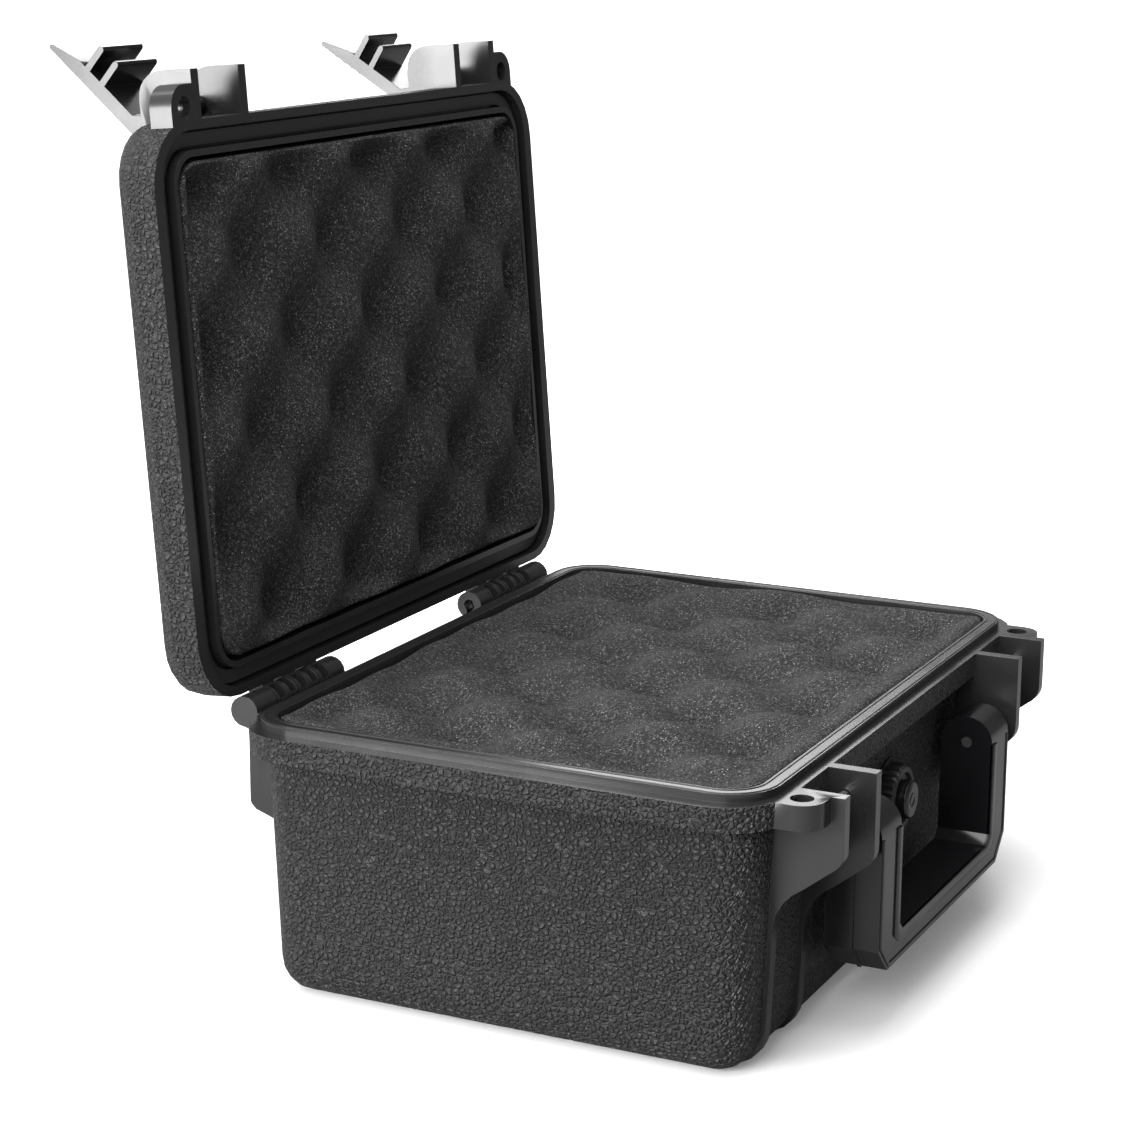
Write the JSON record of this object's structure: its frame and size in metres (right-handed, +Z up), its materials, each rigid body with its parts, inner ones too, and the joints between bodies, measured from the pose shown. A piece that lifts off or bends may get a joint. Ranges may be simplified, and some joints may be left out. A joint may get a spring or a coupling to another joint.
{
  "type": "hard equipment case",
  "caption": "Small hinged hard case with drafted grained shell, over-centre latches, swinging front handle, pressure valve and egg-crate foam, shown open.",
  "frame": {"origin": "centre of the base's underside", "axes": "+X to the case's right as seen from the front, +Y to the hinge side, +Z up; the front with the handle faces -Y"},
  "size_m": [0.24, 0.2634, 0.2813],
  "materials": {
    "grained_plastic": "fine pebble grain",
    "smooth_plastic": "smooth moulded",
    "pin_steel": "drawn steel rod",
    "seal_rubber": "matte",
    "foam": "open-cell foam"
  },
  "bodies": {
    "base": {"base_shell": "grained_plastic", "base_foam_block": "foam", "base_foam_pad": "foam", "hinge_pin_left": "pin_steel", "hinge_pin_right": "pin_steel", "strike_pin_left": "pin_steel", "strike_pin_right": "pin_steel", "handle_pin_left": "pin_steel", "handle_pin_right": "pin_steel", "valve_body": "smooth_plastic", "valve_nut": "smooth_plastic", "valve_membrane": "seal_rubber", "valve_o_ring": "seal_rubber"},
    "lid": {"lid_shell": "grained_plastic", "lid_gasket": "seal_rubber", "lid_foam_pad": "foam", "latch_pin_left": "pin_steel", "latch_pin_right": "pin_steel"},
    "left_latch": {"latch_left": "smooth_plastic"},
    "right_latch": {"latch_right": "smooth_plastic"},
    "carry_handle": {"handle": "smooth_plastic"},
    "valve": {"valve_knob": "smooth_plastic", "valve_button": "smooth_plastic"}
  },
  "joints": [
    {"name": "lid_hinge", "type": "hinge", "parent": "base", "child": "lid", "pos_m": [0, 0.0916, 0.0842], "axis": [1, 0, 0], "range_deg": [0, 94.65]},
    {"name": "latch_left_pivot", "type": "hinge", "parent": "lid", "child": "left_latch", "pos_m": [-0.08125, 0.12151, 0.26326], "axis": [1, 0, 0], "range_deg": [-6, 135]},
    {"name": "latch_right_pivot", "type": "hinge", "parent": "lid", "child": "right_latch", "pos_m": [0.08125, 0.12151, 0.26326], "axis": [1, 0, 0], "range_deg": [0, 144]},
    {"name": "handle_swing", "type": "hinge", "parent": "base", "child": "carry_handle", "pos_m": [0, -0.0913, 0.0608], "axis": [-1, 0, 0], "range_deg": [0, 95]},
    {"name": "valve_turn", "type": "hinge", "parent": "base", "child": "valve", "pos_m": [0, -0.0809, 0.0538], "axis": [0, -1, 0], "range_deg": [-90, 0]}
  ]
}
